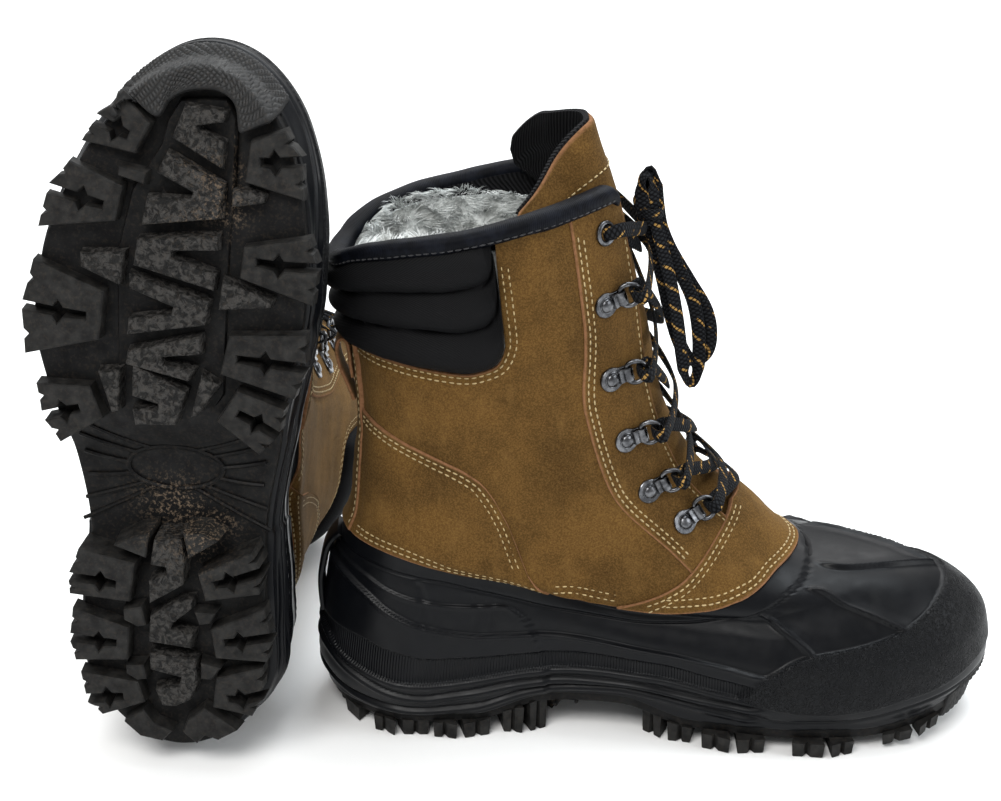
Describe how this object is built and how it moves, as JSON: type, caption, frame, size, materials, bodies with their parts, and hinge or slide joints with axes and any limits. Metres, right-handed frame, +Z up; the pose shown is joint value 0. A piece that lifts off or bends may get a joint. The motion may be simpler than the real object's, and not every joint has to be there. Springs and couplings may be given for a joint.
{
  "type": "pair of insulated hunting boots",
  "caption": "Pair of insulated lace-up hunting boots: rubber foot with lugged sole, suede shaft, padded collar and fleece bootie; one stands, one lies on its back.",
  "frame": {"origin": "middle of the pair's box, on the surface it stands on", "axes": "+X to the toe of the standing left boot, +Z up, +Y away from the sole of the lying right boot"},
  "size_m": [0.4322, 0.294, 0.3214],
  "materials": {
    "suede_leather": "suede, golden brown with raw orange-brown edges",
    "shell_rubber": "satin moulded rubber",
    "tread_rubber": "matt, slightly dusty",
    "padded_nylon": "padded softshell",
    "fleece": "grey-white pile",
    "binding_tape": "folded tape",
    "lace_braid": "flat braid, black with gold flecks",
    "gunmetal": "dark nickel",
    "felt": "felt"
  },
  "bodies": {
    "left_boot": {"left_outsole": "tread_rubber", "left_foot_shell": "shell_rubber", "left_heel_loop": "shell_rubber", "left_insole": "felt", "left_liner": "fleece", "left_backstay": "suede_leather", "left_vamp": "suede_leather", "left_tongue": "suede_leather", "left_collar_pad": "padded_nylon", "left_collar_binding": "binding_tape", "left_lace": "lace_braid", "left_lace_hank": "lace_braid", "left_quarter_medial": "suede_leather", "left_heel_panel_medial": "suede_leather", "left_eyestay_medial": "suede_leather", "left_quarter_lateral": "suede_leather", "left_heel_panel_lateral": "suede_leather", "left_eyestay_lateral": "suede_leather"},
    "left_tongue_flap": {"left_tongue_top": "suede_leather"},
    "left_ring_medial_1": {"left_ring_medial_1": "gunmetal"},
    "left_ring_medial_2": {"left_ring_medial_2": "gunmetal"},
    "left_ring_medial_3": {"left_ring_medial_3": "gunmetal"},
    "left_ring_medial_4": {"left_ring_medial_4": "gunmetal"},
    "left_ring_medial_5": {"left_ring_medial_5": "gunmetal"},
    "left_ring_lateral_1": {"left_ring_lateral_1": "gunmetal"},
    "left_ring_lateral_2": {"left_ring_lateral_2": "gunmetal"},
    "left_ring_lateral_3": {"left_ring_lateral_3": "gunmetal"},
    "left_ring_lateral_4": {"left_ring_lateral_4": "gunmetal"},
    "left_ring_lateral_5": {"left_ring_lateral_5": "gunmetal"},
    "right_boot": {"right_outsole": "tread_rubber", "right_foot_shell": "shell_rubber", "right_heel_loop": "shell_rubber", "right_insole": "felt", "right_liner": "fleece", "right_backstay": "suede_leather", "right_vamp": "suede_leather", "right_tongue": "suede_leather", "right_collar_pad": "padded_nylon", "right_collar_binding": "binding_tape", "right_lace": "lace_braid", "right_lace_hank": "lace_braid", "right_quarter_medial": "suede_leather", "right_heel_panel_medial": "suede_leather", "right_eyestay_medial": "suede_leather", "right_quarter_lateral": "suede_leather", "right_heel_panel_lateral": "suede_leather", "right_eyestay_lateral": "suede_leather"},
    "right_tongue_flap": {"right_tongue_top": "suede_leather"},
    "right_ring_medial_1": {"right_ring_medial_1": "gunmetal"},
    "right_ring_medial_2": {"right_ring_medial_2": "gunmetal"},
    "right_ring_medial_3": {"right_ring_medial_3": "gunmetal"},
    "right_ring_medial_4": {"right_ring_medial_4": "gunmetal"},
    "right_ring_medial_5": {"right_ring_medial_5": "gunmetal"},
    "right_ring_lateral_1": {"right_ring_lateral_1": "gunmetal"},
    "right_ring_lateral_2": {"right_ring_lateral_2": "gunmetal"},
    "right_ring_lateral_3": {"right_ring_lateral_3": "gunmetal"},
    "right_ring_lateral_4": {"right_ring_lateral_4": "gunmetal"},
    "right_ring_lateral_5": {"right_ring_lateral_5": "gunmetal"}
  },
  "joints": [
    {"name": "right_boot_lift", "type": "slide", "parent": "left_boot", "child": "right_boot", "axis": [0, 0, 1], "range_m": [0, 0.35]},
    {"name": "left_tongue_flap_fold", "type": "hinge", "parent": "left_boot", "child": "left_tongue_flap", "pos_m": [0.02622, -0.0789, 0.2312], "axis": [0, 1, 0], "range_deg": [-20, 4]},
    {"name": "left_ring_medial_1_swing", "type": "hinge", "parent": "left_boot", "child": "left_ring_medial_1", "pos_m": [0.03468, -0.1111, 0.21573], "axis": [-0.2987, -0.0944, 0.9497], "range_deg": [-5, 5]},
    {"name": "left_ring_medial_2_swing", "type": "hinge", "parent": "left_boot", "child": "left_ring_medial_2", "pos_m": [0.03824, -0.11323, 0.18136], "axis": [-0.229, -0.0333, 0.9729], "range_deg": [-5, 5]},
    {"name": "left_ring_medial_3_swing", "type": "hinge", "parent": "left_boot", "child": "left_ring_medial_3", "pos_m": [0.04568, -0.1131, 0.15219], "axis": [-0.2626, 0.0022, 0.9649], "range_deg": [-5, 5]},
    {"name": "left_ring_medial_4_swing", "type": "hinge", "parent": "left_boot", "child": "left_ring_medial_4", "pos_m": [0.05655, -0.11248, 0.12766], "axis": [-0.4029, 0.0341, 0.9146], "range_deg": [-5, 5]},
    {"name": "left_ring_medial_5_swing", "type": "hinge", "parent": "left_boot", "child": "left_ring_medial_5", "pos_m": [0.07268, -0.1107, 0.11192], "axis": [-0.5465, 0.2117, 0.8102], "range_deg": [-5, 5]},
    {"name": "left_ring_lateral_1_swing", "type": "hinge", "parent": "left_boot", "child": "left_ring_lateral_1", "pos_m": [0.03468, -0.04669, 0.21573], "axis": [0.2987, -0.0944, -0.9497], "range_deg": [-5, 5]},
    {"name": "left_ring_lateral_2_swing", "type": "hinge", "parent": "left_boot", "child": "left_ring_lateral_2", "pos_m": [0.03824, -0.04456, 0.18136], "axis": [0.229, -0.0333, -0.9729], "range_deg": [-5, 5]},
    {"name": "left_ring_lateral_3_swing", "type": "hinge", "parent": "left_boot", "child": "left_ring_lateral_3", "pos_m": [0.04568, -0.0447, 0.15219], "axis": [0.2626, 0.0022, -0.9649], "range_deg": [-5, 5]},
    {"name": "left_ring_lateral_4_swing", "type": "hinge", "parent": "left_boot", "child": "left_ring_lateral_4", "pos_m": [0.05655, -0.04531, 0.12766], "axis": [0.4029, 0.0341, -0.9146], "range_deg": [-5, 5]},
    {"name": "left_ring_lateral_5_swing", "type": "hinge", "parent": "left_boot", "child": "left_ring_lateral_5", "pos_m": [0.07268, -0.04706, 0.11192], "axis": [0.546, 0.2119, -0.8106], "range_deg": [-5, 5]},
    {"name": "right_tongue_flap_fold", "type": "hinge", "parent": "right_boot", "child": "right_tongue_flap", "pos_m": [-0.13471, 0.09233, 0.12029], "axis": [0.9923, -0.1201, -0.0314], "range_deg": [-20, 4]},
    {"name": "right_ring_medial_1_swing", "type": "hinge", "parent": "right_boot", "child": "right_ring_medial_1", "pos_m": [-0.10425, 0.07364, 0.12869], "axis": [-0.1941, -0.9123, 0.3605], "range_deg": [-5, 5]},
    {"name": "right_ring_medial_2_swing", "type": "hinge", "parent": "right_boot", "child": "right_ring_medial_2", "pos_m": [-0.10605, 0.03952, 0.13433], "axis": [-0.1389, -0.9467, 0.2905], "range_deg": [-5, 5]},
    {"name": "right_ring_medial_3_swing", "type": "hinge", "parent": "right_boot", "child": "right_ring_medial_3", "pos_m": [-0.10934, 0.01107, 0.14358], "axis": [-0.1015, -0.9411, 0.3225], "range_deg": [-5, 5]},
    {"name": "right_ring_medial_4_swing", "type": "hinge", "parent": "right_boot", "child": "right_ring_medial_4", "pos_m": [-0.11242, -0.01253, 0.15598], "axis": [-0.0585, -0.8869, 0.4582], "range_deg": [-5, 5]},
    {"name": "right_ring_medial_5_swing", "type": "hinge", "parent": "right_boot", "child": "right_ring_medial_5", "pos_m": [-0.11542, -0.02697, 0.17312], "axis": [0.1356, -0.7964, 0.5894], "range_deg": [-5, 5]},
    {"name": "right_ring_lateral_1_swing", "type": "hinge", "parent": "right_boot", "child": "right_ring_lateral_1", "pos_m": [-0.16816, 0.08137, 0.13071], "axis": [0.0068, 0.935, -0.3546], "range_deg": [-5, 5]},
    {"name": "right_ring_lateral_2_swing", "type": "hinge", "parent": "right_boot", "child": "right_ring_lateral_2", "pos_m": [-0.17419, 0.04777, 0.13648], "axis": [0.0729, 0.9547, -0.2884], "range_deg": [-5, 5]},
    {"name": "right_ring_lateral_3_swing", "type": "hinge", "parent": "right_boot", "child": "right_ring_lateral_3", "pos_m": [-0.17721, 0.01928, 0.14573], "axis": [0.1058, 0.9406, -0.3226], "range_deg": [-5, 5]},
    {"name": "right_ring_lateral_4_swing", "type": "hinge", "parent": "right_boot", "child": "right_ring_lateral_4", "pos_m": [-0.17907, -0.00446, 0.15809], "axis": [0.1261, 0.8787, -0.4603], "range_deg": [-5, 5]},
    {"name": "right_ring_lateral_5_swing", "type": "hinge", "parent": "right_boot", "child": "right_ring_lateral_5", "pos_m": [-0.17857, -0.01933, 0.17512], "axis": [0.2847, 0.7459, -0.6022], "range_deg": [-5, 5]}
  ]
}
